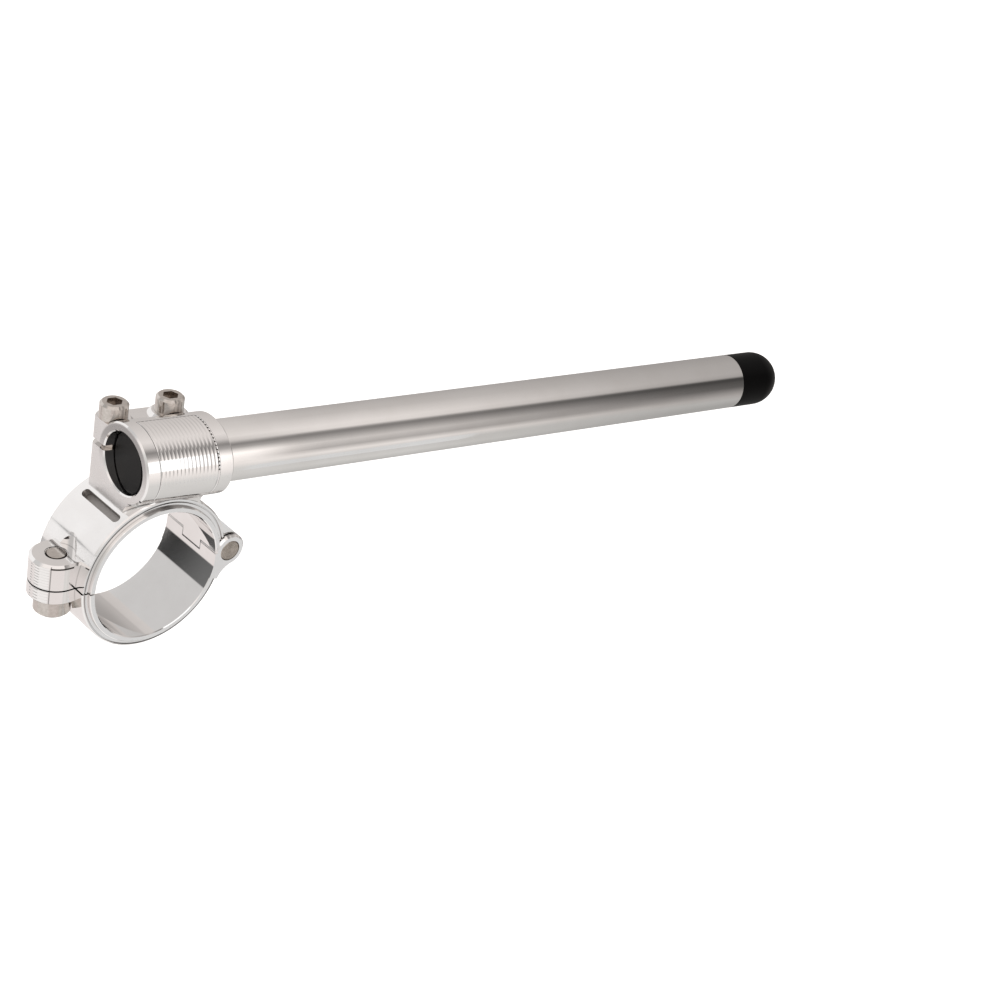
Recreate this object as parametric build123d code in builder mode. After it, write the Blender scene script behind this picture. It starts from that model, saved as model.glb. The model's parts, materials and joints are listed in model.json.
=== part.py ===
"""Clip on handlebar, left hand unit.

Millimetres. The origin is the centre of the bore that grips the fork tube. Z runs along the
fork tube, X runs out towards the grip end, and Y runs from the fork tube to the bar. The bar
leans from X towards +Z by the drop angle, and both ends of its barrel are cut square to X.
"""
import os
from math import acos, atan2, cos, hypot, radians, sin, sqrt, tan

from build123d import *

# Ring round the fork tube
fork_r = 25.0
ring_half = 15.0
body_wall = 5.0
cap_wall = 4.4
band_step = 0.8
band_rise = 5.0
lip_wall = 2.0
lip_drop = 1.3
lip_edge = 0.25
groove_land = 1.2
groove_w = 0.6
groove_depth = 0.5
front_edge = 0.5
back_edge = 1.2
bore_edge = 0.3
split_gap = 0.6

# Hinge
pin_out = 6.4
pin_y = 1.2
pin_r = 4.0
pin_press_gap = 0.02
pin_run_gap = 0.05
pin_edge = 0.35
knuckle_wall = 2.3
knuckle_gap = 0.35
knuckle_edge = 0.7
knuckle_z0 = -5.0
knuckle_z1 = 5.5
knuckle_side_gap = 0.25
hinge_end_y = 1.6
hinge_end_gap = 0.35
middle_end_y = -1.2
middle_end_gap = 0.6
hinge_blend = 8.0
web_blend = 4.0
web_drop = 0.5

# Clamp lug and its M8 screw
lug_out = 6.9
lug_r = 9.0
lug_top = 10.0
lug_bottom = -6.0
lug_edge = 0.9
notch_r = 6.6
seat_recess = 1.0
seat_gap = 0.6
m8_r = 4.0
m8_root_r = 3.23
m8_tap_gap = 0.05
m8_pass_gap = 0.35
m8_head_r = 6.5
m8_head_h = 8.0
m8_head_edge = 0.9
m8_hex = 6.0
m8_hex_depth = 4.0

# Bar
drop_angle = 10.0
bar_y = 44.5
bar_z = 9.5
bar_r = 11.1
bar_wall = 3.0
bar_fit_gap = 0.05
bar_start = -8.9
bar_end = 258.1
bar_edge = 0.3
plug_flange = 3.0
plug_rim_gap = 0.05
plug_spigot = 12.0
plug_edge = 0.6
spigot_gap = 0.05
cap_length = 24.0
cap_spigot = 18.0

# Barrel that holds the bar, and the riser that carries it
barrel_wall = 3.4
inner_x = -13.7
outer_x = 17.7
barrel_edge = 0.55
mouth_edge = 0.5
pad_x0 = -9.1
pad_x1 = 12.6
pad_depth = 0.3
pad_back = 2.0
pad_low = 13.0
riser_x1 = 14.8
riser_step_y = 33.0
riser_front = 2.6
riser_blend = 6.5
slot_out = 2.5
slot_mid_z = 0.8
slot_length = 21.5
slot_width = 3.2
slot_depth = 3.2

# Ears and M6 pinch screws
m6_back = 15.0
m6_s0 = -11.7
m6_s1 = 8.83
m6_r = 3.0
m6_pass_gap = 0.35
m6_tap_gap = 0.05
m6_length = 20.0
m6_head_r = 5.0
m6_head_h = 6.0
m6_head_edge = 0.8
m6_hex = 5.0
m6_hex_depth = 3.0
boss_r = 6.0
ear_top = 8.2
seat_height = 9.6
head_room = 0.6
slit_half = 1.0
slit_from = 7.0
hole_extra = 1.6

# Worked out from the sizes above
half_gap = split_gap / 2
body_r = fork_r + body_wall
cap_r = fork_r + cap_wall
lip_r = fork_r + lip_wall
groove_r = lip_r + groove_land
step_z = ring_half - lip_drop
web_z = step_z - web_drop
reach = 4 * body_r
pin_x = fork_r + pin_out
pin_place = (pin_x, pin_y)
knuckle_r = pin_r + knuckle_wall
room_r = knuckle_r + knuckle_gap
lug_x = -(fork_r + lug_out)
lean = radians(drop_angle)
stretch = 1 / cos(lean)
bar_dir = Vector(cos(lean), 0, sin(lean))
bar_front = Vector(-sin(lean), 0, cos(lean))
bar_mid = Vector(0, bar_y, bar_z)
barrel_r = bar_r + barrel_wall
bar_bore_r = bar_r + bar_fit_gap
spigot_r = bar_r - bar_wall - spigot_gap
ear_back = m6_back + boss_r
screw_places = [(m6_s0, m6_back), (m6_s1, m6_back)]
flare = seat_height - ear_top
riser_foot_y = sqrt(fork_r**2 - riser_x1**2)
web_foot = Vector(riser_x1, sqrt(body_r**2 - riser_x1**2))

# Straight web from the riser's foot to the hinge knuckle, touching the knuckle's round
web_span = hypot(web_foot.X - pin_x, web_foot.Y - pin_y)
web_turn = atan2(web_foot.Y - pin_y, web_foot.X - pin_x) - acos(knuckle_r / web_span)
web_tip = Vector(pin_x + knuckle_r * cos(web_turn), pin_y + knuckle_r * sin(web_turn))
web_way = (web_tip - web_foot).normalized()
web_bend = acos(-web_way.Y)
blend_length = web_blend * tan(web_bend / 2)

# Hollow round between the hinge knuckle and the outside of the ring cap
hinge_span = hypot(pin_x, pin_y)
round_r = cap_r + hinge_blend
round_u = (round_r**2 - (knuckle_r + hinge_blend) ** 2 + hinge_span**2) / (2 * hinge_span)
round_v = sqrt(round_r**2 - round_u**2)
hinge_way = Vector(pin_x, pin_y) / hinge_span
round_mid = hinge_way * round_u + Vector(hinge_way.Y, -hinge_way.X) * round_v
knuckle_touch = Vector(pin_x, pin_y) + (round_mid - Vector(pin_x, pin_y)).normalized() * knuckle_r
ring_touch = round_mid * (cap_r / round_r)
touch_way = ((knuckle_touch + ring_touch) / 2 - round_mid).normalized()
round_near = round_mid + touch_way * hinge_blend

# Hollow round between the riser's front and the barrel, in the barrel's section
blend_w = riser_front + riser_blend
blend_v = -sqrt((barrel_r + riser_blend) ** 2 - blend_w**2)
blend_k = barrel_r / (barrel_r + riser_blend)
blend_s = riser_blend * sqrt(0.5)
inner_mid_z = bar_z + inner_x * tan(lean)
riser_run = (riser_x1 - inner_x) * stretch
wedge_z = bar_z + riser_x1 * tan(lean)
wedge_front = wedge_z + riser_front * stretch
wedge_back = wedge_z - ear_back * stretch

# Planes
along_bar = Plane(origin=bar_mid, x_dir=(sin(lean), 0, -cos(lean)), z_dir=bar_dir)
over_bar = Plane(origin=bar_mid, x_dir=bar_dir, z_dir=(0, 1, 0))
up_lug = Plane(origin=(lug_x, 0, 0), x_dir=(1, 0, 0), z_dir=(0, 1, 0))
down_lug = Plane(origin=(lug_x, 0, 0), x_dir=(1, 0, 0), z_dir=(0, -1, 0))
inner_plane = Plane.YZ.offset(inner_x)
barrel_end = Plane(origin=(inner_x, bar_y, inner_mid_z), x_dir=(0, 1, 0), z_dir=(1, 0, 0))
outer_plane = Plane.YZ.offset(outer_x)
slot_x = inner_x - slot_out
slot_y = sqrt(body_r**2 - slot_x**2)
slot_plane = Plane(origin=(slot_x, slot_y, slot_mid_z), x_dir=(0, 0, 1), z_dir=(slot_x, slot_y, 0))

os.makedirs("parts", exist_ok=True)


def turned_edges(outer_r):
    """What is turned away round the fork axis: the front lip, its groove and the ring's edges."""
    with BuildPart() as turned:
        with BuildSketch(Plane.XZ):
            with BuildLine():
                Polyline(
                    (lip_r - lip_edge, ring_half),
                    (lip_r, ring_half - lip_edge),
                    (lip_r, step_z),
                    (outer_r, step_z),
                    (outer_r, ring_half),
                    close=True,
                )
            make_face()
            with Locations((groove_r, step_z)):
                Rectangle(groove_w, groove_depth, align=(Align.MIN, Align.MAX))
            with BuildLine():
                Polyline(
                    (outer_r - front_edge, step_z),
                    (outer_r, step_z),
                    (outer_r, step_z - front_edge),
                    close=True,
                )
            make_face()
            with BuildLine():
                Polyline(
                    (outer_r - back_edge, -ring_half),
                    (outer_r, -ring_half),
                    (outer_r, back_edge - ring_half),
                    close=True,
                )
            make_face()
            for side in (-1, 1):
                with BuildLine():
                    Polyline(
                        (0, side * ring_half),
                        (fork_r + bore_edge, side * ring_half),
                        (fork_r, side * (ring_half - bore_edge)),
                        (0, side * (ring_half - bore_edge)),
                        close=True,
                    )
                make_face()
        revolve(axis=Axis.Z)
    return turned.part


def lug_block(plane, height, wall):
    """Round ended lug, from the split of the ring to its chamfered far face, rooted in the wall."""
    with BuildPart() as block:
        with BuildSketch(plane.offset(half_gap)):
            Circle(lug_r)
            Rectangle(lug_out + wall / 2, 2 * lug_r, align=(Align.MIN, Align.CENTER))
        extrude(amount=height - half_gap)
        far_face = block.faces().filter_by(Axis.Y).sort_by(Axis(plane.origin, plane.z_dir))[-1]
        chamfer(far_face.edges(), length=lug_edge)
    return block.part


# What is cut away round the raised seats of the pinch screws, down to the top of the ears
with BuildPart() as ear_relief:
    with BuildSketch(over_bar.offset(ear_top)):
        Rectangle(reach, reach)
    extrude(amount=flare)
    for place in screw_places:
        seat_mid = over_bar.from_local_coords(Vector(*place))
        with BuildSketch(Plane(origin=seat_mid, x_dir=bar_dir, z_dir=bar_front)):
            with BuildLine():
                Polyline(
                    (0, seat_height),
                    (boss_r, seat_height),
                    (boss_r + flare, ear_top),
                    (0, ear_top),
                    close=True,
                )
            make_face()
        revolve(axis=Axis(seat_mid, (0, 1, 0)), mode=Mode.SUBTRACT)

# Riser with its two ears
with BuildPart() as riser:
    with BuildSketch(over_bar.offset(riser_foot_y - bar_y)):
        with BuildLine():
            Polyline(
                (inner_x * stretch + riser_front * tan(lean), -riser_front),
                (outer_x * stretch + riser_front * tan(lean), -riser_front),
                (outer_x * stretch - m6_back * tan(lean), m6_back),
                (inner_x * stretch - m6_back * tan(lean), m6_back),
                close=True,
            )
        make_face()
        with Locations(*screw_places):
            Circle(boss_r)
        with Locations((m6_s0, m6_back)):
            Rectangle(m6_s1 - m6_s0, boss_r, align=(Align.MIN, Align.MIN))
    extrude(amount=bar_y - riser_foot_y + seat_height)
    add(ear_relief.part, mode=Mode.SUBTRACT)
    # square ends, set in below the step at the outer end
    split(bisect_by=inner_plane, keep=Keep.TOP)
    split(bisect_by=outer_plane, keep=Keep.BOTTOM)
    with BuildSketch(Plane.YZ.offset(riser_x1)):
        with Locations((riser_step_y, 0)):
            Rectangle(reach, reach, align=(Align.MAX, Align.CENTER))
    extrude(amount=outer_x - riser_x1, mode=Mode.SUBTRACT)
    # hollow round between the front and the barrel
    with BuildSketch(barrel_end):
        with BuildLine():
            ThreePointArc(
                (blend_v, riser_front * stretch),
                (blend_v + blend_s, (blend_w - blend_s) * stretch),
                (blend_v * blend_k, blend_w * blend_k * stretch),
            )
            Polyline(
                (blend_v * blend_k, blend_w * blend_k * stretch),
                (blend_v * blend_k, 0),
                (blend_v, 0),
                (blend_v, riser_front * stretch),
            )
        make_face()
    extrude(amount=riser_run, dir=bar_dir)
    # hollow round where the outer end runs into the hinge web
    with BuildSketch(Plane.XY.offset(wedge_back)):
        with BuildLine():
            Polyline(
                web_foot + web_way * blend_length,
                web_foot,
                web_foot + Vector(0, blend_length),
            )
            TangentArc(
                web_foot + Vector(0, blend_length), web_foot + web_way * blend_length, tangent=(0, -1)
            )
        make_face()
    extrude(amount=wedge_front - wedge_back)

# Barrel with the shallow pad round its front
with BuildPart() as pad_cut:
    with BuildSketch(along_bar):
        Circle(barrel_r + pad_depth)
        Circle(barrel_r - pad_depth, mode=Mode.SUBTRACT)
        with Locations((pad_back, 0)):
            Rectangle(reach, reach, align=(Align.MIN, Align.CENTER), mode=Mode.SUBTRACT)
        with Locations((0, -pad_low)):
            Rectangle(reach, reach, align=(Align.CENTER, Align.MAX), mode=Mode.SUBTRACT)
    extrude(amount=reach, both=True)
    split(bisect_by=Plane.YZ.offset(pad_x0), keep=Keep.TOP)
    split(bisect_by=Plane.YZ.offset(pad_x1), keep=Keep.BOTTOM)

with BuildPart() as barrel:
    with BuildSketch(along_bar):
        Circle(barrel_r)
    extrude(amount=reach, both=True)
    split(bisect_by=inner_plane, keep=Keep.TOP)
    split(bisect_by=outer_plane, keep=Keep.BOTTOM)
    chamfer(barrel.edges().filter_by(GeomType.ELLIPSE), length=barrel_edge)
    add(pad_cut.part, mode=Mode.SUBTRACT)

# Body: the upper half ring with its lug, hinge web and middle knuckle, the riser and the barrel
with BuildPart() as clamp_body:
    # half ring
    with BuildSketch(Plane.XY):
        Circle(body_r)
        with Locations((0, half_gap)):
            Rectangle(reach, reach, align=(Align.CENTER, Align.MAX), mode=Mode.SUBTRACT)
        with Locations((fork_r, hinge_end_y + hinge_end_gap)):
            Rectangle(2 * body_wall, reach, align=(Align.CENTER, Align.MAX), mode=Mode.SUBTRACT)
    extrude(amount=ring_half, both=True)
    # the band above the lug is stepped in a little
    with BuildSketch(Plane.XY):
        Circle(body_r + band_step)
        Circle(body_r - band_step, mode=Mode.SUBTRACT)
        with Locations((0, lug_top + band_rise)):
            Rectangle(reach, reach, align=(Align.CENTER, Align.MIN), mode=Mode.SUBTRACT)
        Rectangle(reach, reach, align=(Align.MIN, Align.CENTER), mode=Mode.SUBTRACT)
    extrude(amount=ring_half, both=True, mode=Mode.SUBTRACT)
    add(riser.part)
    add(turned_edges(body_r), mode=Mode.SUBTRACT)
    # sloping web down to the hinge, set back behind the lip
    with BuildSketch(Plane.XY.offset(-ring_half)):
        with BuildLine():
            Polyline(web_foot, web_tip, pin_place, (fork_r, hinge_end_y), (0, hinge_end_y), close=True)
        make_face()
        Circle(fork_r, mode=Mode.SUBTRACT)
        with Locations((fork_r, hinge_end_y + hinge_end_gap)):
            Rectangle(2 * (pin_out + knuckle_r), reach, align=(Align.CENTER, Align.MAX), mode=Mode.SUBTRACT)
    extrude(amount=web_z + ring_half)
    # lug for the clamp screw
    add(lug_block(up_lug, lug_top, body_wall))
    # round notch over the lug, cut into the ring
    with BuildSketch(up_lug.offset(lug_top)):
        Circle(notch_r)
    extrude(amount=body_r, mode=Mode.SUBTRACT)
    # room for the two knuckles of the ring cap
    for face_z, way in ((knuckle_z1, 1), (knuckle_z0, -1)):
        with BuildSketch(Plane.XY.offset(face_z)):
            with Locations(pin_place):
                Circle(room_r)
        extrude(amount=way * 2 * ring_half, mode=Mode.SUBTRACT)
    # middle knuckle
    with BuildSketch(Plane.XY.offset(knuckle_z0)):
        with Locations(pin_place):
            Circle(knuckle_r)
        with BuildLine():
            Polyline(
                pin_place,
                web_tip,
                web_foot,
                (0, middle_end_y),
                (pin_x, middle_end_y),
                close=True,
            )
        make_face()
    extrude(amount=knuckle_z1 - knuckle_z0)
    add(barrel.part)
    # room for the pinch screw heads
    with BuildSketch(over_bar.offset(seat_height)):
        with Locations(*screw_places):
            Circle(m6_head_r + head_room)
    extrude(amount=m6_head_h, mode=Mode.SUBTRACT)
    # bore for the bar, its mouths and the slit behind it
    with BuildSketch(along_bar):
        Circle(bar_bore_r)
    extrude(amount=reach, both=True, mode=Mode.SUBTRACT)
    mouths = clamp_body.edges().filter_by(GeomType.ELLIPSE).filter_by(lambda edge: edge.is_closed)
    chamfer(mouths, length=mouth_edge)
    with BuildSketch(over_bar.offset(-slit_half)):
        with Locations((0, slit_from)):
            Rectangle(reach, ear_back, align=(Align.CENTER, Align.MIN))
    extrude(amount=2 * slit_half, mode=Mode.SUBTRACT)
    # pinch screw holes: clear above the slit, threaded below
    with BuildSketch(over_bar):
        with Locations(*screw_places):
            Circle(m6_r + m6_pass_gap)
    extrude(amount=seat_height, mode=Mode.SUBTRACT)
    with BuildSketch(over_bar):
        with Locations(*screw_places):
            Circle(m6_r + m6_tap_gap)
    extrude(amount=-(m6_length - seat_height + hole_extra), mode=Mode.SUBTRACT)
    # bore for the fork tube
    with BuildSketch(Plane.XY):
        Circle(fork_r)
    extrude(amount=ring_half, both=True, mode=Mode.SUBTRACT)
    # clamp screw hole, at the thread's full width
    with BuildSketch(up_lug):
        Circle(m8_r + m8_tap_gap)
    extrude(amount=lug_top, mode=Mode.SUBTRACT)
    # hinge pin hole
    with BuildSketch(Plane.XY):
        with Locations(pin_place):
            Circle(pin_r + pin_press_gap)
    extrude(amount=ring_half, both=True, mode=Mode.SUBTRACT)
    # round ended slot where the riser leaves the ring
    with BuildSketch(slot_plane):
        SlotOverall(slot_length, slot_width)
    extrude(amount=slot_depth, both=True, mode=Mode.SUBTRACT)
clamp_body.part.label = "clamp_body"
export_step(clamp_body.part, "parts/clamp_body.step")

# Leaf of the ring cap that carries the two outer hinge knuckles
with BuildPart() as hinge_leaf:
    with BuildSketch(Plane.XY.offset(-ring_half)):
        with Locations(pin_place):
            Circle(knuckle_r)
        with BuildLine():
            Polyline(
                ring_touch,
                ring_touch * (fork_r / cap_r),
                (fork_r, hinge_end_y),
                (pin_x, hinge_end_y),
                knuckle_touch,
            )
            ThreePointArc(knuckle_touch, round_near, ring_touch)
        make_face()
    extrude(amount=2 * ring_half)
    rims = hinge_leaf.edges().filter_by(GeomType.CIRCLE)
    chamfer(rims, length=knuckle_edge)

# Ring cap: the lower half ring, its lug and the hinge leaf
with BuildPart() as ring_cap:
    with BuildSketch(Plane.XY):
        Circle(cap_r)
        with Locations((0, -half_gap)):
            Rectangle(reach, reach, align=(Align.CENTER, Align.MIN), mode=Mode.SUBTRACT)
    extrude(amount=ring_half, both=True)
    add(turned_edges(cap_r), mode=Mode.SUBTRACT)
    add(hinge_leaf.part)
    # room for the middle knuckle
    with BuildSketch(Plane.XY.offset(knuckle_z0 - knuckle_side_gap)):
        with Locations(pin_place):
            Circle(room_r)
        with Locations((fork_r - knuckle_wall, middle_end_y - middle_end_gap)):
            Rectangle(reach, reach, align=(Align.MIN, Align.MIN))
    extrude(amount=knuckle_z1 - knuckle_z0 + 2 * knuckle_side_gap, mode=Mode.SUBTRACT)
    # lug, with a seat for the screw's head
    add(lug_block(down_lug, -lug_bottom, cap_wall))
    with BuildSketch(down_lug.offset(-lug_bottom - seat_recess)):
        Circle(m8_head_r + seat_gap)
    extrude(amount=cap_r, mode=Mode.SUBTRACT)
    with BuildSketch(down_lug):
        Circle(m8_r + m8_pass_gap)
    extrude(amount=-lug_bottom, mode=Mode.SUBTRACT)
    # bore for the fork tube
    with BuildSketch(Plane.XY):
        Circle(fork_r)
    extrude(amount=ring_half, both=True, mode=Mode.SUBTRACT)
    # hinge pin hole
    with BuildSketch(Plane.XY):
        with Locations(pin_place):
            Circle(pin_r + pin_run_gap)
    extrude(amount=ring_half, both=True, mode=Mode.SUBTRACT)
ring_cap.part.label = "ring_cap"
export_step(ring_cap.part, "parts/ring_cap.step")

# Hinge pin, flush with both faces of the ring
with BuildPart() as hinge_pin:
    with BuildSketch(Plane.XY.offset(-ring_half)):
        with Locations(pin_place):
            Circle(pin_r)
    extrude(amount=2 * ring_half)
    chamfer(hinge_pin.edges().filter_by(GeomType.CIRCLE), length=pin_edge)
hinge_pin.part.label = "hinge_pin"
export_step(hinge_pin.part, "parts/hinge_pin.step")

# Clamp screw, M8 socket head, head below the lug
with BuildPart() as clamp_screw:
    with BuildSketch(down_lug.offset(-lug_bottom - seat_recess)):
        Circle(m8_head_r)
    extrude(amount=m8_head_h)
    chamfer(clamp_screw.edges().sort_by(Axis.Y)[0], length=m8_head_edge)
    with BuildSketch(up_lug.offset(lug_bottom + seat_recess)):
        Circle(m8_r)
    extrude(amount=-lug_bottom - seat_recess - half_gap)
    with BuildSketch(up_lug.offset(-half_gap)):
        Circle(m8_root_r)
    extrude(amount=lug_top + half_gap)
    with BuildSketch(down_lug.offset(-lug_bottom - seat_recess + m8_head_h)):
        RegularPolygon(m8_hex / sqrt(3), 6)
    extrude(amount=-m8_hex_depth, mode=Mode.SUBTRACT)
clamp_screw.part.label = "clamp_screw"
export_step(clamp_screw.part, "parts/clamp_screw.step")

# Two M6 socket head pinch screws
with BuildPart() as pinch_screws:
    with BuildSketch(over_bar.offset(seat_height)):
        with Locations(*screw_places):
            Circle(m6_head_r)
    extrude(amount=m6_head_h)
    chamfer(pinch_screws.edges().group_by(Axis.Y)[-1], length=m6_head_edge)
    with BuildSketch(over_bar.offset(seat_height)):
        with Locations(*screw_places):
            Circle(m6_r)
    extrude(amount=-m6_length)
    with BuildSketch(over_bar.offset(seat_height + m6_head_h)):
        with Locations(*screw_places):
            RegularPolygon(m6_hex / sqrt(3), 6)
    extrude(amount=-m6_hex_depth, mode=Mode.SUBTRACT)
pinch_screws.part.label = "pinch_screws"
export_step(pinch_screws.part, "parts/pinch_screws.step")

# Bar tube
with BuildPart() as bar_tube:
    with BuildSketch(along_bar.offset(bar_start)):
        Circle(bar_r)
        Circle(bar_r - bar_wall, mode=Mode.SUBTRACT)
    extrude(amount=bar_end - bar_start)
    outside = bar_tube.faces().filter_by(GeomType.CYLINDER).sort_by(SortBy.AREA)[-1]
    chamfer(outside.edges().filter_by(GeomType.CIRCLE), length=bar_edge)
bar_tube.part.label = "bar_tube"
export_step(bar_tube.part, "parts/bar_tube.step")

# Plug in the inner end of the bar
with BuildPart() as inner_plug:
    with BuildSketch(along_bar.offset(bar_start - plug_flange)):
        Circle(bar_r - plug_rim_gap)
    extrude(amount=plug_flange)
    chamfer(inner_plug.edges().sort_by(Axis.X)[0], length=plug_edge)
    with BuildSketch(along_bar.offset(bar_start)):
        Circle(spigot_r)
    extrude(amount=plug_spigot)
inner_plug.part.label = "inner_plug"
export_step(inner_plug.part, "parts/inner_plug.step")

# Round nosed cap on the outer end of the bar
with BuildPart() as bar_end_cap:
    with BuildSketch(over_bar):
        with BuildLine():
            Polyline(
                (bar_end + cap_length, 0),
                (bar_end - cap_spigot, 0),
                (bar_end - cap_spigot, spigot_r),
                (bar_end, spigot_r),
                (bar_end, bar_r),
                (bar_end + cap_length - bar_r, bar_r),
            )
            CenterArc((bar_end + cap_length - bar_r, 0), bar_r, 0, 90)
        make_face()
    revolve(axis=Axis(bar_mid, bar_dir))
bar_end_cap.part.label = "bar_end_cap"
export_step(bar_end_cap.part, "parts/bar_end_cap.step")
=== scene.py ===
"""Clip on handlebar: finishes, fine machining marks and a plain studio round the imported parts.

Metres, in the parts' own frame: the origin is the centre of the fork bore, Z runs along the
fork tube, X runs out to the grip end and Y runs from the fork tube to the bar.
"""
import json
import math

import bpy
from mathutils import Matrix, Vector

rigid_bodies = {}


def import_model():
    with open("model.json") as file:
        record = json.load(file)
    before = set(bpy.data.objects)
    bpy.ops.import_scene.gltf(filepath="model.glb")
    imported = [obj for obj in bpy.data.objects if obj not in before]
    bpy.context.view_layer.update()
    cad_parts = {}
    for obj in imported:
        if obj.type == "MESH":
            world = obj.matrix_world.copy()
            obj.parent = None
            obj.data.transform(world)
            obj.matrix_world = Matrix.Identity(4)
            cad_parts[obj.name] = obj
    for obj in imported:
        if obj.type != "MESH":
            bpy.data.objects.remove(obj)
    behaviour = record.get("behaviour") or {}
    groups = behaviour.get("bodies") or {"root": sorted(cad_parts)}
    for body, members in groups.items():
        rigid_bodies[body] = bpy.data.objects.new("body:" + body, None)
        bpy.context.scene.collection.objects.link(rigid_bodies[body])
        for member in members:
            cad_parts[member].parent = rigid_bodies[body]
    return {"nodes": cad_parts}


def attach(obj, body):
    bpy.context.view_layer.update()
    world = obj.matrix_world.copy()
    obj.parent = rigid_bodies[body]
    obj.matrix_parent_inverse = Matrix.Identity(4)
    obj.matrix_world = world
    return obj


for leftover in list(bpy.data.objects):
    bpy.data.objects.remove(leftover)
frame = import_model()
bpy.context.view_layer.update()
nodes = frame["nodes"]

MM = 0.001

# Bar line and the barrel round it
DROP = math.radians(10.0)
BAR_DIR = Vector((math.cos(DROP), 0.0, math.sin(DROP)))
BAR_UP = Vector((0.0, 1.0, 0.0))
BAR_FRONT = Vector((-math.sin(DROP), 0.0, math.cos(DROP)))
BAR_MID = Vector((0.0, 44.5, 9.5)) * MM
BARREL_R = 14.5 * MM

# Fork bore, hinge pin and clamp lug
FORK_R = 25.0 * MM
PIN_AXIS = Vector((31.4, 1.2, 0.0)) * MM
LUG_MID = Vector((-31.9, 0.0, 0.0)) * MM
LUG_R = 9.0 * MM
LUG_TOP = 10.0 * MM
LUG_BOTTOM = -6.0 * MM
LUG_EDGE = 0.9 * MM
SPLIT_HALF = 0.3 * MM
M8_HOLE_R = 4.05 * MM
M8_PITCH = 1.25 * MM
BAR_BORE_R = 11.15 * MM

# Machined faces of the clamp: honed bores, the slot at the riser's foot with painted shade in it,
# and the ends sawn square to X, with painted shade on the barrel's end, greyer towards its top
BORE_SKIN = 0.06 * MM
SLOT_RADII = (28.6 * MM, 29.7 * MM)
SLOT_X = 10.0 * MM
SLOT_Y = 18.0 * MM
SLOT_Z = 13.0 * MM
# Painted shade: the grey that the slot's colour is darkened to
SLOT_SHADE = (0.46, 0.44, 0.425)
INNER_X = -13.7 * MM
SAWN_SKIN = 0.05 * MM
RISER_R = 30.1 * MM
# Painted shade on the barrel's sawn end: radii and heights where it fades in, and its grey
END_SHADE_RADII = (14.3 * MM, 13.3 * MM)
END_SHADE_RISE = (36.0 * MM, 54.0 * MM)
END_SHADE_TONE = (0.46, 0.45, 0.445)

# Painted shade in gaps, slots and sockets: rays cast, and the openness where it starts and ends
HOLLOW_SAMPLES = 8
HOLLOW_AT = (0.15, 0.7)
NOISE_ROUGHNESS = 0.55

# Ribs cut into the barrel's pad, square to X, with a row of tool marks at their outer end
PAD_X = (-8.85 * MM, 12.55 * MM)
PAD_TURN = (math.radians(-7.9), math.radians(153.6))
PAD_FLOOR = 0.28 * MM
RIB_COUNT = 15
RIB_DEPTH = 0.035 * MM
RIB_END = 11.7 * MM
RIB_FADE = (math.radians(92.0), math.radians(101.0))
MARK_X = 12.15 * MM
MARK_HALF = 0.42 * MM
MARK_PITCH = 1.4 * MM
MARK_DEPTH = 0.26 * MM
MARK_DARK = 0.13 * MM
MARK_LAST = math.radians(84.0)
MARK_REST = 0.4
# Painted shade in the bottom of the tool marks, deeper than MARK_DARK
MARK_SHADE = (0.05, 0.045, 0.04)
PAD_ROW = 0.35 * MM
RIB_STEPS = 8

# Scallops round the end of the lug, clear of the split, and the shadow lines beside them
SCALLOP_TURN = (math.radians(-75.0), math.radians(47.0))
SCALLOP_PITCH = 1.05 * MM
SCALLOP_PROUD = 0.10 * MM
SCALLOP_DEPTH = 0.07 * MM
SCALLOP_ROOT = 0.1 * MM
SCALLOP_GAP = 0.2 * MM
SCALLOP_ROWS = 60
LINE_HEIGHT = (LUG_TOP - LUG_EDGE - 0.5 * MM, LUG_TOP - LUG_EDGE + 0.1 * MM)
LINE_RADII = (LUG_R - 0.5 * MM, LUG_R + 0.12 * MM)
LINE_LAST = math.radians(112.0)
LINE_WIDTH = math.radians(2.5)
LINE_SIDE_SHARE = 0.6
LINE_TONE = (0.07, 0.065, 0.06)

# Thread in the mouth of the lug's hole
THREAD_HEIGHT = (LUG_TOP - 4.5 * M8_PITCH, LUG_TOP - 0.3 * MM)
THREAD_OUT = 0.02 * MM
THREAD_IN = 0.04 * MM
THREAD_DEPTH = 0.5 * MM
THREAD_ROWS = 48
THREAD_COLUMNS = 44

# Camera, found by fitting the parts to the picture
CAM_PLACE = Vector((-327.116, 350.768, 432.934)) * MM
CAM_RIGHT = Vector((0.7077949, 0.1922351, 0.6797588))
CAM_UP = Vector((0.2249445, 0.8508397, -0.4748388))
CAM_BACK = Vector((-0.6696464, 0.4889965, 0.5589777))
CAM_LENS = 64.215
CAM_SENSOR = 36.0
CAM_CLIP = (0.01, 100.0)

# Studio: a light tent whose panels run along the bar and lean a little round it. Each panel edge
# has its angle, in degrees from the camera's side, and its level at the clamp, on the bar and far
# out, chosen to bring the render close to the picture.
TENT_FRONT = Vector((-0.146, 0.543, 0.827))
TENT_TOP = Vector((0.094, 0.840, -0.535))
TENT = (
    (-180, 0.50, 0.40, 0.35),
    (-112, 0.70, 0.70, 0.40),
    (-80, 0.75, 0.63, 0.50),
    (-60, 0.95, 0.92, 0.45),
    (-42, 1.10, 0.48, 0.32),
    (-20, 1.35, 0.67, 0.12),
    (0, 0.45, 0.38, 0.09),
    (12, 0.27, 0.24, 0.06),
    (18, 0.40, 0.30, 0.07),
    (27, 0.67, 0.85, 0.41),
    (42, 0.85, 0.87, 0.46),
    (90, 0.70, 0.60, 0.45),
    (180, 0.50, 0.40, 0.35),
)
TENT_ALONG = ((0.44, 0.48), (0.50, 0.68))
TENT_LEAN = (0.48, math.radians(62.0))
TENT_WARM = (1.0, 0.945, 0.915)
TENT_PLAIN = (1.0, 0.98, 0.955)
TENT_PLAIN_BELOW = -60
TENT_END = (0.70, 0.80)
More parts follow.
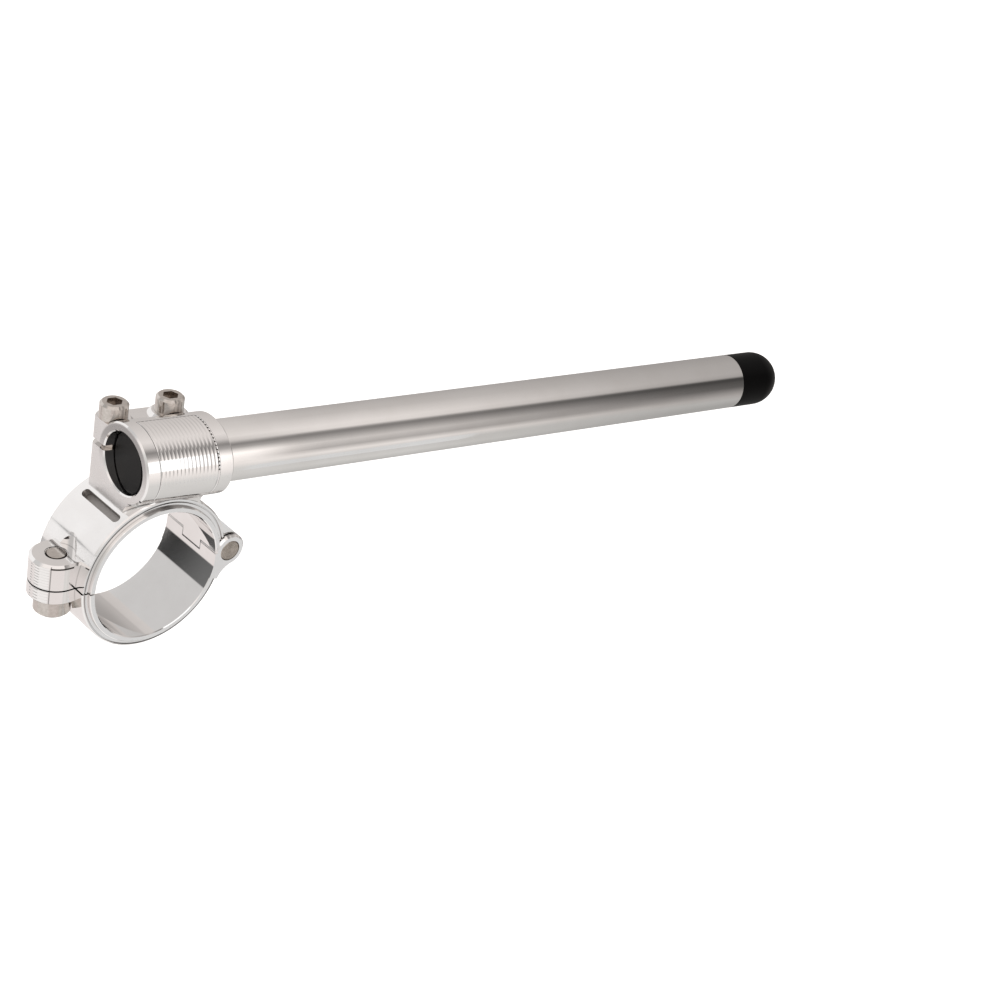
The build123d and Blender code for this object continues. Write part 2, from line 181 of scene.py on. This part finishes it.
TENT_END_ROWS = (
    (-180, 0.35), (-120, 0.7), (-60, 0.9), (-25, 0.35),
    (30, 0.3), (70, 0.8), (130, 0.65), (180, 0.35),
)

# The room behind the tent: pale, greyer towards the far wall, darker low down on one side, with
# three dark strips. Each strip has its first and last angle, its depth along Z with soft ends, and
# its tone at both ends.
ROOM_FROM = (0.26, 0.31)
ROOM_TOP = (1.0, 0.985, 0.98)
ROOM_WALL = (0.66, 0.65, 0.645)
ROOM_WALL_Z = (-0.676, -0.666)
ROOM_FRONT = (
    (-180, 0.55), (-120, 0.62), (-78, 0.80), (-60, 1.02), (38, 1.02),
    (50, 0.50), (75, 0.40), (100, 0.75), (150, 0.70), (180, 0.55),
)
ROOM_FRONT_Z = (-0.35, 0.0)
ROOM_FALL = (0.0, -0.45)
ROOM_LOW = (0.87, 0.815, 0.80)
ROOM_LOW_SIDE = (0.98, 0.955, 0.94)
ROOM_LOW_SIDE_Z = (-0.60, -0.40, 0.40, 0.60)
ROOM_DARK = (0.40, 0.38, 0.37)
ROOM_DARK_RISE = (-0.98, -0.92, -0.70, -0.62)
ROOM_DARK_Z = (-0.60, -0.52, -0.30, -0.20)
STRIP_SOFT = math.radians(1.5)
STRIPS = (
    (-13.0, 28.5, (-0.673, -0.665, -0.638, -0.60), (0.025, 0.17)),
    (-14.5, -10.0, (-0.80, -0.75, -0.680, -0.675), (0.34, 0.42)),
    (20.0, 44.5, (-0.80, -0.75, -0.703, -0.694), (0.32, 0.36)),
)

# White cards: one low on the right, seen in the faces square to the fork, and one close in front
# of the barrel. Each has its middle, the place it faces, its half width, half height and level.
CARDS = (
    ("low_card", Vector((0.275, -0.297, 0.369)), Vector((0, 0, 0)), 0.075, 0.075, 0.75),
    ("barrel_card", Vector((-0.010, 0.067, 0.109)), BAR_MID, 0.046, 0.025, 1.35),
)
FLOOR_Z = -0.30
FLOOR_HALF = 20.0
WALL_TOP = 15.0
WALL_LEVEL = 1.05
SQUARE = ((-1, -1), (1, -1), (1, 1), (-1, 1))


def link(tree, a, b):
    tree.links.new(a, b)


def add(tree, kind, **settings):
    """A new node with its plain settings."""
    node = tree.nodes.new(kind)
    for key, value in settings.items():
        setattr(node, key, value)
    return node


def math_node(tree, operation, a, b=None):
    node = add(tree, "ShaderNodeMath", operation=operation)
    for socket, value in zip(node.inputs, (a, b)):
        if value is None:
            continue
        if isinstance(value, (int, float)):
            socket.default_value = value
        else:
            link(tree, value, socket)
    return node.outputs[0]


def product(tree, *factors):
    """All the factors multiplied."""
    result = factors[0]
    for factor in factors[1:]:
        result = math_node(tree, "MULTIPLY", result, factor)
    return result


def dot_node(tree, vector, direction):
    node = add(tree, "ShaderNodeVectorMath", operation="DOT_PRODUCT")
    link(tree, vector, node.inputs[0])
    node.inputs[1].default_value = direction
    return node.outputs["Value"]


def ramp_node(tree, factor, stops):
    """A colour ramp from (place, colour) pairs."""
    node = add(tree, "ShaderNodeValToRGB")
    elements = node.color_ramp.elements
    while len(elements) < len(stops):
        elements.new(0.5)
    for element, (place, colour) in zip(elements, stops):
        element.position = place
        element.color = (*colour, 1.0)
    link(tree, factor, node.inputs[0])
    return node.outputs[0]


def start_material(name):
    """An empty node material with its shader: returns the material, its tree and the shader."""
    mat = bpy.data.materials.new(name)
    mat.use_nodes = True
    tree = mat.node_tree
    tree.nodes.clear()
    out = add(tree, "ShaderNodeOutputMaterial")
    shader = add(tree, "ShaderNodeBsdfPrincipled")
    link(tree, shader.outputs[0], out.inputs[0])
    return mat, tree, shader


def dress(tree, shader, colour, rough, normal, metallic=1.0):
    """Give a shader its colour, roughness and normal, and say how metallic it is."""
    for name, value in (("Base Color", colour), ("Roughness", rough), ("Normal", normal)):
        link(tree, value, shader.inputs[name])
    shader.inputs["Metallic"].default_value = metallic


def object_place(tree, scale=(1, 1, 1), turn=(0, 0, 0), shift=(0, 0, 0)):
    """The place on the part, in metres, moved, turned and scaled for a texture."""
    coords = add(tree, "ShaderNodeTexCoord")
    mapping = add(tree, "ShaderNodeMapping", vector_type="TEXTURE")
    mapping.inputs["Location"].default_value = shift
    mapping.inputs["Rotation"].default_value = turn
    mapping.inputs["Scale"].default_value = scale
    link(tree, coords.outputs["Object"], mapping.inputs["Vector"])
    return mapping.outputs[0]


def noise_node(tree, place, scale=1.0, detail=3.0):
    node = add(tree, "ShaderNodeTexNoise")
    node.inputs["Scale"].default_value = scale
    node.inputs["Detail"].default_value = detail
    node.inputs["Roughness"].default_value = NOISE_ROUGHNESS
    link(tree, place, node.inputs["Vector"])
    return node.outputs["Fac"]


def bump_node(tree, height, distance, strength=1.0, normal=None):
    node = add(tree, "ShaderNodeBump")
    node.inputs["Strength"].default_value = strength
    node.inputs["Distance"].default_value = distance
    link(tree, height, node.inputs["Height"])
    if normal is not None:
        link(tree, normal, node.inputs["Normal"])
    return node.outputs[0]


def grey_ramp(tree, factor, low, high, low_at=0.3, high_at=0.7):
    return ramp_node(tree, factor, ((low_at, (low,) * 3), (high_at, (high,) * 3)))


def range_node(tree, value, start, end, low=0.0, high=1.0):
    """A smooth step of the value, from low at start to high at end."""
    node = add(tree, "ShaderNodeMapRange", interpolation_type="SMOOTHSTEP")
    node.inputs["From Min"].default_value = start
    node.inputs["From Max"].default_value = end
    node.inputs["To Min"].default_value = low
    node.inputs["To Max"].default_value = high
    link(tree, value, node.inputs["Value"])
    return node.outputs[0]


def window_node(tree, value, edges):
    """One between the two middle edges, falling smoothly to nothing at the two outer ones."""
    rise = range_node(tree, value, edges[0], edges[1])
    return product(tree, rise, range_node(tree, value, edges[3], edges[2]))


def mix_node(tree, factor, a, b, blend="MIX"):
    """Two colours mixed by a factor, each a link or a plain colour."""
    node = add(tree, "ShaderNodeMix", data_type="RGBA", blend_type=blend)
    sockets = (node.inputs[0], node.inputs["A"], node.inputs["B"])
    for socket, value in zip(sockets, (factor, a, b)):
        if isinstance(value, (int, float)):
            socket.default_value = value
        elif isinstance(value, tuple):
            socket.default_value = (*value, 1.0)
        else:
            link(tree, value, socket)
    return node.outputs["Result"]


def hollow_shade(tree, reach, floor):
    """Painted shade: a grey that is white in the open and falls to the floor level in gaps, slots
    and sockets.
    """
    node = add(tree, "ShaderNodeAmbientOcclusion", samples=HOLLOW_SAMPLES)
    node.inputs["Distance"].default_value = reach
    return grey_ramp(tree, node.outputs["AO"], floor, 1.0, *HOLLOW_AT)


def axis_radius(tree, place, first, second):
    """Distance from an axis, given the two coordinates across it, and all three coordinates."""
    split = add(tree, "ShaderNodeSeparateXYZ")
    link(tree, place, split.inputs[0])
    a, b = split.outputs[first], split.outputs[second]
    squares = math_node(tree, "ADD", product(tree, a, a), product(tree, b, b))
    return math_node(tree, "SQRT", squares), split.outputs


def inside_node(tree, value, low, high):
    """One between the two limits, and nothing outside them."""
    above = math_node(tree, "GREATER_THAN", value, low)
    return product(tree, above, math_node(tree, "LESS_THAN", value, high))


def tool_mark_shade(tree, bar_radius, x):
    """Painted shade at the bottom of the row of tool marks."""
    deep = inside_node(tree, bar_radius, BARREL_R - PAD_FLOOR, BARREL_R - MARK_DARK)
    return product(tree, deep, inside_node(tree, x, RIB_END, PAD_X[1]))


def lug_lines(tree):
    """Shadow lines where the lug's front is cut back: under its top and beside the scallops."""
    radius, (x, y, z) = axis_radius(tree, object_place(tree, shift=LUG_MID), 0, 2)
    turn = math_node(tree, "ARCTAN2", z, product(tree, x, -1.0))
    side = SCALLOP_TURN[1]
    top = product(
        tree,
        inside_node(tree, y, *LINE_HEIGHT),
        inside_node(tree, turn, side, LINE_LAST),
    )
    beside = inside_node(tree, turn, side, side + LINE_WIDTH)
    lines = math_node(tree, "MAXIMUM", top, product(tree, beside, LINE_SIDE_SHARE))
    return product(tree, lines, inside_node(tree, radius, *LINE_RADII))


def clamp_alloy():
    """Machined aluminium, bright anodised: satin on the riser's end, honed bores, a rough slot;
    painted shade in the slot, on the barrel's end, in the tool marks and in gaps.
    """
    mat, tree, shader = start_material("clamp_bright")
    fine = noise_node(tree, object_place(tree), scale=2600.0, detail=4.0)
    broad = noise_node(tree, object_place(tree), scale=90.0)
    radius, (x, y, z) = axis_radius(tree, object_place(tree), 0, 1)
    bar_place = object_place(tree, turn=(0.0, -DROP, 0.0), shift=BAR_MID)
    bar_radius, _ = axis_radius(tree, bar_place, 1, 2)
    bores = math_node(
        tree,
        "MAXIMUM",
        math_node(tree, "LESS_THAN", radius, FORK_R + BORE_SKIN),
        math_node(tree, "LESS_THAN", bar_radius, BAR_BORE_R + BORE_SKIN),
    )
    above = math_node(tree, "GREATER_THAN", y, SLOT_Y)
    slot = product(
        tree,
        range_node(tree, radius, SLOT_RADII[1], SLOT_RADII[0]),
        above,
        math_node(tree, "GREATER_THAN", product(tree, x, -1.0), SLOT_X),
        inside_node(tree, z, -SLOT_Z, SLOT_Z),
    )
    sawn = product(
        tree,
        math_node(tree, "LESS_THAN", x, INNER_X + SAWN_SKIN),
        above,
        math_node(tree, "GREATER_THAN", radius, RISER_R),
    )
    # painted shade on the barrel's sawn end, darker towards its top and towards the bore
    end_shade = product(
        tree,
        sawn,
        range_node(tree, bar_radius, *END_SHADE_RADII),
        range_node(tree, y, *END_SHADE_RISE),
    )
    colour = ramp_node(tree, broad, ((0.3, (0.85, 0.835, 0.825)), (0.7, (0.89, 0.88, 0.872))))
    # painted shade in the slot
    colour = mix_node(tree, slot, colour, SLOT_SHADE)
    # painted shade on the barrel's end
    colour = mix_node(tree, end_shade, colour, END_SHADE_TONE)
    # painted shade in the tool marks
    colour = mix_node(tree, tool_mark_shade(tree, bar_radius, x), colour, MARK_SHADE)
    colour = mix_node(tree, lug_lines(tree), colour, LINE_TONE)
    # painted shade in the clamp's gaps and slots
    colour = mix_node(tree, 1.0, colour, hollow_shade(tree, 1.0 * MM, 0.42), "MULTIPLY")
    rough = grey_ramp(tree, fine, 0.06, 0.10)
    rough = mix_node(tree, sawn, rough, grey_ramp(tree, fine, 0.26, 0.34))
    rough = mix_node(tree, bores, rough, grey_ramp(tree, fine, 0.03, 0.05))
    rough = mix_node(tree, slot, rough, grey_ramp(tree, fine, 0.50, 0.60))
    turned = add(tree, "ShaderNodeCombineXYZ")
    link(tree, radius, turned.inputs[0])
    link(tree, z, turned.inputs[1])
    lines = noise_node(tree, turned.outputs[0], scale=2400.0, detail=2.0)
    grain = bump_node(tree, fine, 0.002 * MM, 0.3)
    dress(tree, shader, colour, rough, bump_node(tree, lines, 0.002 * MM, 0.3, grain))
    return mat


def bar_alloy():
    """Polished aluminium with faint lines along the bar."""
    mat, tree, shader = start_material("bar_polish")
    place = object_place(tree, scale=(0.05, 0.0004, 0.0004), turn=(0.0, -DROP, 0.0))
    lines = noise_node(tree, place)
    broad = noise_node(tree, object_place(tree), scale=60.0)
    colour = ramp_node(tree, broad, ((0.3, (0.84, 0.825, 0.81)), (0.7, (0.88, 0.87, 0.86))))
    normal = bump_node(tree, lines, 0.002 * MM, 0.4)
    dress(tree, shader, colour, grey_ramp(tree, lines, 0.05, 0.09), normal)
    return mat


def pin_steel():
    """Turned steel with rings round the pin's axis."""
    mat, tree, shader = start_material("pin_turned")
    place = object_place(tree, shift=PIN_AXIS)
    rings = add(tree, "ShaderNodeTexWave", wave_type="RINGS", rings_direction="Z")
    rings.inputs["Scale"].default_value = 420.0
    rings.inputs["Distortion"].default_value = 0.6
    link(tree, place, rings.inputs["Vector"])
    mottle = noise_node(tree, object_place(tree), scale=700.0)
    colour = ramp_node(tree, mottle, ((0.3, (0.38, 0.335, 0.29)), (0.7, (0.50, 0.455, 0.41))))
    normal = bump_node(tree, rings.outputs["Fac"], 0.03 * MM)
    dress(tree, shader, colour, grey_ramp(tree, mottle, 0.20, 0.32), normal)
    return mat


def screw_steel():
    """Warm grey stainless steel, with painted shade in its sockets and hollows."""
    mat, tree, shader = start_material("screw_stainless")
    mottle = noise_node(tree, object_place(tree), scale=900.0)
    colour = ramp_node(tree, mottle, ((0.3, (0.52, 0.485, 0.45)), (0.7, (0.64, 0.60, 0.565))))
    # painted shade: the steel falls to dark brown in sockets and other enclosed places
    colour = mix_node(tree, hollow_shade(tree, 3.0 * MM, 0.0), (0.26, 0.21, 0.175), colour)
    normal = bump_node(tree, mottle, 0.004 * MM, 0.4)
    dress(tree, shader, colour, grey_ramp(tree, mottle, 0.06, 0.11), normal)
    return mat


def black_plastic():
    """Moulded satin black plastic."""
    mat, tree, shader = start_material("black_satin")
    grain = noise_node(tree, object_place(tree), scale=3000.0, detail=2.0)
    tones = ((0.3, (0.0015, 0.0015, 0.0016)), (0.7, (0.003, 0.003, 0.0031)))
    colour = ramp_node(tree, grain, tones)
    normal = bump_node(tree, grain, 0.02 * MM, 0.4)
    dress(tree, shader, colour, grey_ramp(tree, grain, 0.34, 0.44), normal, metallic=0.0)
    shader.inputs["Specular IOR Level"].default_value = 0.06
    return mat


FINISH = {
    "clamp_alloy": clamp_alloy(),
    "bar_alloy": bar_alloy(),
    "pin_steel": pin_steel(),
    "screw_steel": screw_steel(),
    "black_plastic": black_plastic(),
}
for node in nodes.values():
    for slot in node.material_slots:
        slot.material = FINISH[slot.material.name]


def new_piece(name, vertices, faces, body, slot):
    """A smooth mesh piece that rides on a body and takes its finish from a slot of the record."""
    mesh = bpy.data.meshes.new(name)
    mesh.from_pydata(vertices, [], faces)
    mesh.polygons.foreach_set("use_smooth", [True] * len(mesh.polygons))
    mesh.materials.append(FINISH[slot])
    mesh.validate()
    piece = bpy.data.objects.new(name, mesh)
    bpy.context.scene.collection.objects.link(piece)
    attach(piece, body)


def skin_piece(name, rows, columns, outside, inside, body, slot, ring=False):
    """A thin closed shell: a grid of points outside, one inside, and walls along the open edges."""
    count, width = len(rows), len(columns)
    vertices = [surface(u, v) for surface in (outside, inside) for u in rows for v in columns]
    sheet = count * width
    steps = range(count if ring else count - 1)
    faces = []
    for i in steps:
        k = (i + 1) % count
        for j in range(width - 1):
            a, b, c, d = i * width + j, k * width + j, k * width + j + 1, i * width + j + 1
            faces.append((a, b, c, d))
            faces.append((d + sheet, c + sheet, b + sheet, a + sheet))
        for j, way in ((0, 1), (width - 1, -1)):
            wall = (i * width + j, i * width + j + sheet, k * width + j + sheet, k * width + j)
            faces.append(wall[::way])
    if not ring:
        for i, way in ((0, -1), (count - 1, 1)):
            for j in range(width - 1):
                a, b = i * width + j, i * width + j + 1
                faces.append((a, a + sheet, b + sheet, b)[::way])
    new_piece(name, vertices, faces, body, slot)


def even_steps(start, end, count):
    return [start + (end - start) * i / count for i in range(count + 1)]


def smooth_step(value, start, end):
    t = min(max((value - start) / (end - start), 0.0), 1.0)
    return t * t * (3 - 2 * t)


def scallop(share):
    """Depth of a round bottomed groove, 0 at its two edges and 1 at its middle."""
    return 1 - (2 * share - 1) ** 2


def barrel_point(turn, x, radius):
    """The point at a turn from the barrel's crest towards the front, in the plane square to X."""
    out = BAR_UP * (radius * math.cos(turn)) + BAR_FRONT * (radius * math.sin(turn))
    along = (x - out.x) / BAR_DIR.x
    return BAR_MID + BAR_DIR * along + out


def barrel_ribs():
    """Ribs on the barrel's pad: round grooves side by side, then a row of tool marks."""
    pitch = (RIB_END - PAD_X[0]) / RIB_COUNT
    columns = even_steps(PAD_X[0], RIB_END, RIB_COUNT * RIB_STEPS)
    columns += even_steps(RIB_END, PAD_X[1], RIB_STEPS)[1:]
    arc = (PAD_TURN[1] - PAD_TURN[0]) * BARREL_R
    rows = even_steps(*PAD_TURN, round(arc / PAD_ROW))

    def outside(turn, x):
        ribbed = 1 - smooth_step(turn, *RIB_FADE)
        if x < RIB_END:
            cut = RIB_DEPTH * scallop(((x - PAD_X[0]) / pitch) % 1.0) * ribbed
        else:
            row = max(0.0, 1 - ((x - MARK_X) / MARK_HALF) ** 2)
            wave = 0.5 + 0.5 * math.cos(2 * math.pi * turn * BARREL_R / MARK_PITCH)
            cut = MARK_DEPTH * row * (wave if turn < MARK_LAST else MARK_REST)
        return barrel_point(turn, x, BARREL_R - cut)

    def inside(turn, x):
        return barrel_point(turn, x, BARREL_R - PAD_FLOOR)

    skin_piece("barrel_ribs", rows, columns, outside, inside, "clamp", "clamp_alloy")


def lug_scallops(name, low, high, body):
    """Shallow scallops, one above the other, round the free end of the lug."""
    count = round((high - low) / SCALLOP_PITCH)
    columns = even_steps(low, high, count * RIB_STEPS)
    rows = even_steps(*SCALLOP_TURN, SCALLOP_ROWS)

    def at(turn, y, radius):
        return LUG_MID + Vector((-radius * math.cos(turn), y, radius * math.sin(turn)))

    def outside(turn, y):
        cut = SCALLOP_DEPTH * scallop(((y - low) / (high - low) * count) % 1.0)
        return at(turn, y, LUG_R + SCALLOP_PROUD - cut)

    def inside(turn, y):
        return at(turn, y, LUG_R - SCALLOP_ROOT)

    skin_piece(name, rows, columns, outside, inside, body, "clamp_alloy")


def lug_thread():
    """The thread in the mouth of the lug's hole."""
    rows = even_steps(0.0, 2 * math.pi, THREAD_ROWS)[:-1]
    columns = even_steps(*THREAD_HEIGHT, THREAD_COLUMNS)

    def at(turn, y, radius):
        return LUG_MID + Vector((radius * math.cos(turn), y, radius * math.sin(turn)))

    def outside(turn, y):
        share = (y / M8_PITCH + turn / (2 * math.pi)) % 1.0
        return at(turn, y, M8_HOLE_R - THREAD_IN - THREAD_DEPTH * abs(2 * share - 1))

    def inside(turn, y):
        return at(turn, y, M8_HOLE_R + THREAD_OUT)

    finish = ("clamp", "clamp_alloy")
    skin_piece("lug_thread", rows, columns, outside, inside, *finish, ring=True)


def turn_node(tree, ray, ahead, aside):
    """The angle of a ray round an axis, from the first direction towards the second, in radians."""
    return math_node(tree, "ARCTAN2", dot_node(tree, ray, aside), dot_node(tree, ray, ahead))


def strip_light(tree, light, turn, depth, strip):
    """A dark strip laid over the light."""
    first, last, edges, tones = strip
    first, last = math.radians(first), math.radians(last)
    turns = (first - STRIP_SOFT, first + STRIP_SOFT, last - STRIP_SOFT, last + STRIP_SOFT)
    mask = product(tree, window_node(tree, turn, turns), window_node(tree, depth, edges))
    tone = range_node(tree, depth, edges[1], edges[2], *tones)
    return mix_node(tree, mask, light, tone)


def turn_ramp(tree, turn, rows, column=1):
    """A ramp of light levels over the angle round the bar, from 0 to 1 for one whole turn."""
    stops = []
    for row in rows:
        tint = TENT_PLAIN if row[0] < TENT_PLAIN_BELOW else TENT_WARM
        stops.append((0.5 + row[0] / 360, [row[column] * c for c in tint]))
    return ramp_node(tree, turn, stops)


def room_light(tree, ray, bar_turn):
    """The pale room with its dark strips."""
    rise = dot_node(tree, ray, BAR_UP)
    depth = dot_node(tree, ray, (0, 0, 1))
    upper = mix_node(tree, range_node(tree, depth, *ROOM_WALL_Z), ROOM_TOP, ROOM_WALL)
    front = turn_ramp(tree, bar_turn, ROOM_FRONT)
    upper = mix_node(tree, range_node(tree, depth, *ROOM_FRONT_Z), upper, front)
    low = mix_node(tree, window_node(tree, depth, ROOM_LOW_SIDE_Z), ROOM_LOW, ROOM_LOW_SIDE)
    dark = window_node(tree, rise, ROOM_DARK_RISE)
    dark = product(tree, dark, window_node(tree, depth, ROOM_DARK_Z))
    low = mix_node(tree, dark, low, ROOM_DARK)
    room = mix_node(tree, range_node(tree, rise, *ROOM_FALL), upper, low)
    turn = turn_node(tree, ray, (-1, 0, 0), (0, -1, 0))
    for strip in STRIPS:
        room = strip_light(tree, room, turn, depth, strip)
    return room


def light_tent():
    """World light: the room, and panels along the bar that dim towards the grip end."""
    world = bpy.data.worlds.new("light_tent")
    bpy.context.scene.world = world
    world.use_nodes = True
    tree = world.node_tree
    tree.nodes.clear()
    out = add(tree, "ShaderNodeOutputWorld")
    background = add(tree, "ShaderNodeBackground")
    link(tree, background.outputs[0], out.inputs[0])
    ray = add(tree, "ShaderNodeTexCoord").outputs["Generated"]
    along = dot_node(tree, ray, BAR_DIR)
    lean_from, lean = TENT_LEAN
    turn = product(tree, math_node(tree, "SUBTRACT", along, lean_from), lean)
    turn = math_node(tree, "ADD", turn, turn_node(tree, ray, TENT_FRONT, TENT_TOP))
    turn = math_node(tree, "ADD", math_node(tree, "DIVIDE", turn, 2 * math.pi), 0.5)
    tent = turn_ramp(tree, turn, TENT, 1)
    for column, reach in zip((2, 3), TENT_ALONG):
        panels = turn_ramp(tree, turn, TENT, column)
        tent = mix_node(tree, range_node(tree, along, *reach), tent, panels)
    panels = turn_ramp(tree, turn, TENT_END_ROWS)
    tent = mix_node(tree, range_node(tree, along, *TENT_END), tent, panels)
    light = mix_node(tree, range_node(tree, along, *ROOM_FROM), room_light(tree, ray, turn), tent)
    link(tree, light, background.inputs["Color"])
    background.inputs["Strength"].default_value = 1.0


def stage_plane(name, corners, faces, mat):
    """A plain sheet of the studio, which isn't part of the object."""
    mesh = bpy.data.meshes.new(name)
    mesh.from_pydata(corners, [], faces)
    mesh.materials.append(mat)
    plane = bpy.data.objects.new(name, mesh)
    bpy.context.scene.collection.objects.link(plane)
    return plane


def glow_material(name, level):
    """White paper that glows evenly."""
    mat, tree, shader = start_material(name)
    tone = noise_node(tree, object_place(tree), scale=5.0)
    link(tree, grey_ramp(tree, tone, 0.97, 1.0), shader.inputs["Emission Color"])
    shader.inputs["Emission Strength"].default_value = level
    shader.inputs["Base Color"].default_value = (0.0, 0.0, 0.0, 1.0)
    shader.inputs["Roughness"].default_value = 1.0
    return mat


def floor():
    """A plain pale floor, well below the part, with pale walls far off."""
    mat, tree, shader = start_material("floor_paper")
    tone = noise_node(tree, object_place(tree), scale=3.0)
    link(tree, grey_ramp(tree, tone, 0.90, 0.92), shader.inputs["Base Color"])
    shader.inputs["Roughness"].default_value = 0.9
    shader.inputs["Emission Color"].default_value = (1.0, 1.0, 1.0, 1.0)
    shader.inputs["Emission Strength"].default_value = 0.6
    heights = (FLOOR_Z, WALL_TOP)
    corners = [(x * FLOOR_HALF, y * FLOOR_HALF, z) for z in heights for x, y in SQUARE]
    plane = stage_plane("floor", corners[:4], [(0, 1, 2, 3)], mat)
    plane.visible_glossy = False
    sides = [(i, i + 4, (i + 1) % 4 + 4, (i + 1) % 4) for i in range(4)]
    walls = stage_plane("walls", corners, sides, glow_material("wall_paper", WALL_LEVEL))
    walls.visible_glossy = False
    walls.visible_diffuse = False
    walls.visible_shadow = False


def card(name, middle, target, half_width, half_height, level):
    """A glowing white card, out of the camera's sight, with its width along the bar."""
    toward = (target - middle).normalized()
    rise = toward.cross(BAR_DIR).normalized()
    side = rise.cross(toward) * half_width
    corners = [middle + side * a + rise * half_height * b for a, b in SQUARE]
    plane = stage_plane(name, corners, [(0, 1, 2, 3)], glow_material(name, level))
    plane.visible_camera = False
    plane.visible_shadow = False


def camera():
    data = bpy.data.cameras.new("camera")
    data.sensor_width = CAM_SENSOR
    data.lens = CAM_LENS
    data.clip_start, data.clip_end = CAM_CLIP
    cam = bpy.data.objects.new("camera", data)
    bpy.context.scene.collection.objects.link(cam)
    turn = Matrix((CAM_RIGHT, CAM_UP, CAM_BACK)).transposed()
    cam.matrix_world = Matrix.Translation(CAM_PLACE) @ turn.to_4x4()
    bpy.context.scene.camera = cam


barrel_ribs()
lug_scallops("lug_scallops", SPLIT_HALF + SCALLOP_GAP, LUG_TOP - LUG_EDGE, "clamp")
lug_scallops("cap_lug_scallops", LUG_BOTTOM + LUG_EDGE, -SPLIT_HALF - SCALLOP_GAP, "cap")
lug_thread()
light_tent()
floor()
for settings in CARDS:
    card(*settings)
camera()
bpy.context.scene.view_settings.view_transform = "Standard"
